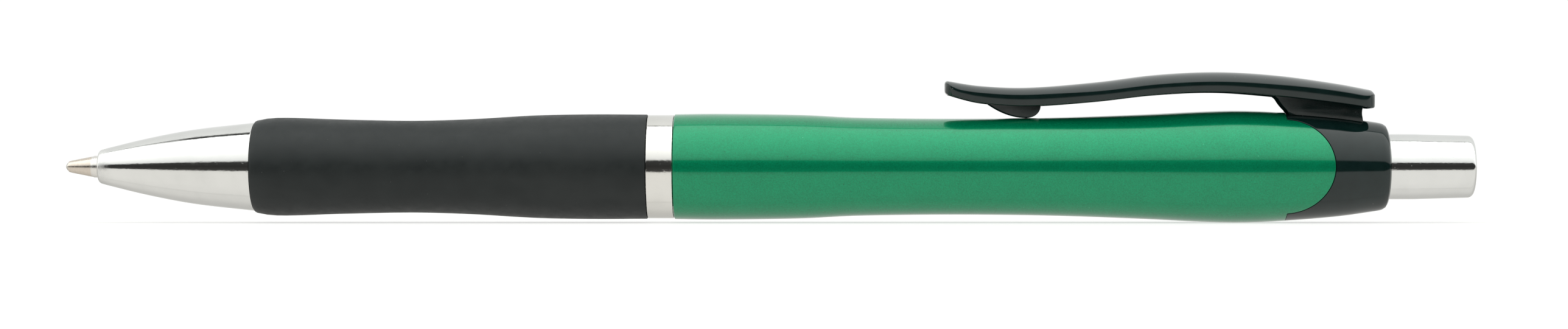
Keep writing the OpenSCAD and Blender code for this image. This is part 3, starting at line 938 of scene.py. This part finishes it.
def slab(outline_points, half, edge, floor=None):
    """A side view outline pushed out to both sides, with its rim rounded.

    The floor is a radius by station: points near it follow the round surface of that radius.
    """
    n = len(outline_points)
    sides = []
    middle = Vector((sum(p[0] for p in outline_points) / n, sum(p[1] for p in outline_points) / n))
    near = [(edge, half), (0.3 * edge, half - 0.3 * edge), (0, half - edge), (0, half / 2)]
    for inset, y in near + [(0, 0)] + [(inset, -y) for inset, y in reversed(near)]:
        ring = []
        for i, p in enumerate(outline_points):
            a, b = Vector(outline_points[i - 1]), Vector(outline_points[(i + 1) % n])
            p = Vector(p)
            u, v = (p - a).normalized(), (b - p).normalized()
            normal = Vector((u.y + v.y, -u.x - v.x)).normalized()
            if normal.dot(p - middle) < 0:
                normal = -normal
            s, h = p - normal * inset
            if floor and p.y < floor(p.x) + 0.1:
                h = math.sqrt(h**2 - y**2)
            ring.append((s, h, y))
        sides.append(ring)
    points = [place(s, y, h) for ring in sides for s, h, y in ring]
    faces = [(r * n + i, r * n + (i + 1) % n, (r + 1) * n + (i + 1) % n, (r + 1) * n + i)
             for r in range(len(sides) - 1) for i in range(n)]
    faces += [list(range(n))[::-1], list(range((len(sides) - 1) * n, len(sides) * n))]
    return points, faces


def is_wide(points, face):
    """Whether a face of the arm is part of its flat underside or closes one of its ends."""
    across = [points[i].y for i in face]
    return max(across) - min(across) > NARROW_FACE * MM


def bump_outline(body, under):
    """The bump from the side: a long curve down from its front, a quarter turn up to its back."""
    front, low_at, back = BUMP["front"], BUMP["low"], BUMP["back"]
    low = body.radius(low_at) + CLIP_GAP
    out = []
    for k in range(BUMP_CURVE_STEPS + 1):
        t = k / BUMP_CURVE_STEPS
        out.append((front + (low_at - front) * t, low + (value(under, front) - low) * (1 - t) ** 2))
    rise = value(under, back) - low
    for k in range(1, BUMP_TURN_STEPS + 1):
        q = math.radians(90 * k / BUMP_TURN_STEPS)
        out.append((low_at + (back - low_at) * math.sin(q), low + rise * (1 - math.cos(q))))
    out.append((back, low + rise + OVERLAP))
    out.append((front + BUMP_ROOT, value(under, front + BUMP_ROOT) + OVERLAP))
    return out


def post_outline(body, under):
    """The post from the side: its slanting front, its foot on the collar and its hollow back."""
    front, back = POST["front"], POST["back"]
    arm_low = value(under, POST["front_top"])
    top_s, top_h = POST["front_top"] - 0.1, arm_low + 0.05
    out = [(POST["front_top"] - 0.5, arm_low + OVERLAP)]
    for k in range(FRONT_STEPS + 1):
        t = k / FRONT_STEPS
        swell = math.sin(math.pi * t)
        out.append((top_s + (front - top_s) * t - FRONT_SWELL[0] * swell,
                    top_h + (FRONT_FOOT - top_h) * t - FRONT_SWELL[1] * swell))
    out[1] = (out[1][0] - FRONT_FLARE[0], out[1][1] + FRONT_FLARE[1])
    for k in range(FOOT_STEPS + 1):
        s = front + FOOT_START + (back - front - FOOT_START) * k / FOOT_STEPS
        out.append((s, body.radius(s) + FOOT_GAP))
    foot_h = out[-1][1]
    top_h = value(under, back) + OVERLAP
    for k in range(1, BACK_STEPS + 1):
        t = k / BACK_STEPS
        out.append((back - BACK_HOLLOW * math.sin(math.pi * min(1, 1.2 * t)),
                    foot_h + (top_h - foot_h) * t))
    return out


def make_clip(body, *materials):
    """The clip as one mesh. Its materials: the arm, the sides under it, and shaded faces."""
    points, faces, under = arm_mesh(read_arm())
    arm, sides, shaded = 0, 1, 2
    # Wide faces, the arm's underside and its ends, get the reflectionless black: painted shade
    kinds = [shaded if is_wide(points, f) else arm for f in faces]

    def attach(more_points, more_faces, shaded_before):
        start = len(points)
        limit = place(shaded_before, 0, 0).x
        points.extend(more_points)
        faces.extend([start + i for i in f] for f in more_faces)
        kinds.extend(shaded if all(more_points[i].x < limit for i in f) else sides
                     for f in more_faces)

    bump = slab(bump_outline(body, under), BUMP["half"], BUMP["round"])
    attach(*bump, shaded_before=BUMP["low"] + BUMP_SHADE)
    post = slab(post_outline(body, under), POST["half"], POST["round"], body.radius)
    attach(*post, shaded_before=POST["front"] + POST_SHADE)

    mesh = bpy.data.meshes.new("clip_shell")
    mesh.from_pydata(points, [], faces)
    mesh.polygons.foreach_set("material_index", kinds)
    obj = finish_piece("clip_shell", mesh, None, "clip", "black_gloss_clip", *materials)
    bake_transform(obj)


def make_spring(material):
    """The spring's own mesh, smooth, for the spring between the nose and the refill."""
    mesh = nodes["return_spring"].data.copy()
    mesh.materials.clear()
    bm = bmesh.new()
    bm.from_mesh(mesh)
    bmesh.ops.remove_doubles(bm, verts=bm.verts, dist=1e-7)
    bm.to_mesh(mesh)
    bm.free()
    obj = finish_piece("spring_wire", mesh, None, "return_spring", "spring_steel", material)
    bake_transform(obj)


def dress(node, material):
    """Give a CAD part that is shown as it is its material."""
    for slot in nodes[node].material_slots:
        slot.material = material


make_camera()
make_world()
make_stage()

green = green_pearl()
gloss = black_plastic("gloss_black")
collar_gloss = black_plastic("gloss_black_collar", 0.05, 0.47)
satin = black_plastic("satin_black", 0.24)
# Matt black with no reflection at all, for the clip's shaded faces: a matt moulded finish and
# painted shade
matt = black_plastic("matt_black_painted_shade", 0.6, 0.0)
trim = chrome("chrome_trim", (0.745, 0.735, 0.70), pitted=0.7)
nose_metal = chrome("chrome_nose", (0.74, 0.74, 0.72), worn=(3.9, 5.0))
button_metal = chrome("chrome_button", (0.745, 0.75, 0.735), 0.04, pitted=0.35)
natural = moulded("natural_plastic", (0.62, 0.61, 0.57), (0.55, 0.54, 0.50), 0.4)

body = Body()
make_barrel(body, green)
make_collar(body, collar_gloss)
make_clip(body, gloss, satin, matt)
turned("nose_shell", "nose_cone", "housing", "chrome_trim", nose_metal, edge=0.06)
turned("ring_shell", "centre_ring", "housing", "chrome_trim", trim, edge=0.12)
turned("grip_shell", "grip_sleeve", "housing", "black_rubber", black_rubber(), edge=0.08)
turned("button_shell", "button_cap", "button", "chrome_button", button_metal, edge=0.08, step=0.2)
turned("nib_shell", "nib", "refill", "nickel_silver", nickel_silver(), edge=0.03, step=0.1)
make_spring(spring_steel())

dress("writing_ball", hard_metal())
dress("grip_core", moulded("grey_plastic", (0.16, 0.165, 0.17), (0.12, 0.125, 0.13), 0.45))
dress("cam_sleeve", natural)
dress("nib_holder", natural)
dress("plunger", moulded("white_plastic", (0.78, 0.78, 0.76), (0.70, 0.70, 0.68), 0.4))
dress("rotor", moulded("yellow_plastic", (0.72, 0.52, 0.08), (0.64, 0.45, 0.06), 0.35))
dress("refill_tube", moulded("clear_tube", (0.86, 0.88, 0.88), (0.80, 0.82, 0.82), 0.2,
                            Transmission_Weight=0.7))
dress("ink_column", moulded("blue_ink", (0.006, 0.010, 0.09), (0.003, 0.005, 0.06), 0.15))
dress("ink_follower", moulded("grease", (0.62, 0.58, 0.42), (0.55, 0.50, 0.35), 0.25))
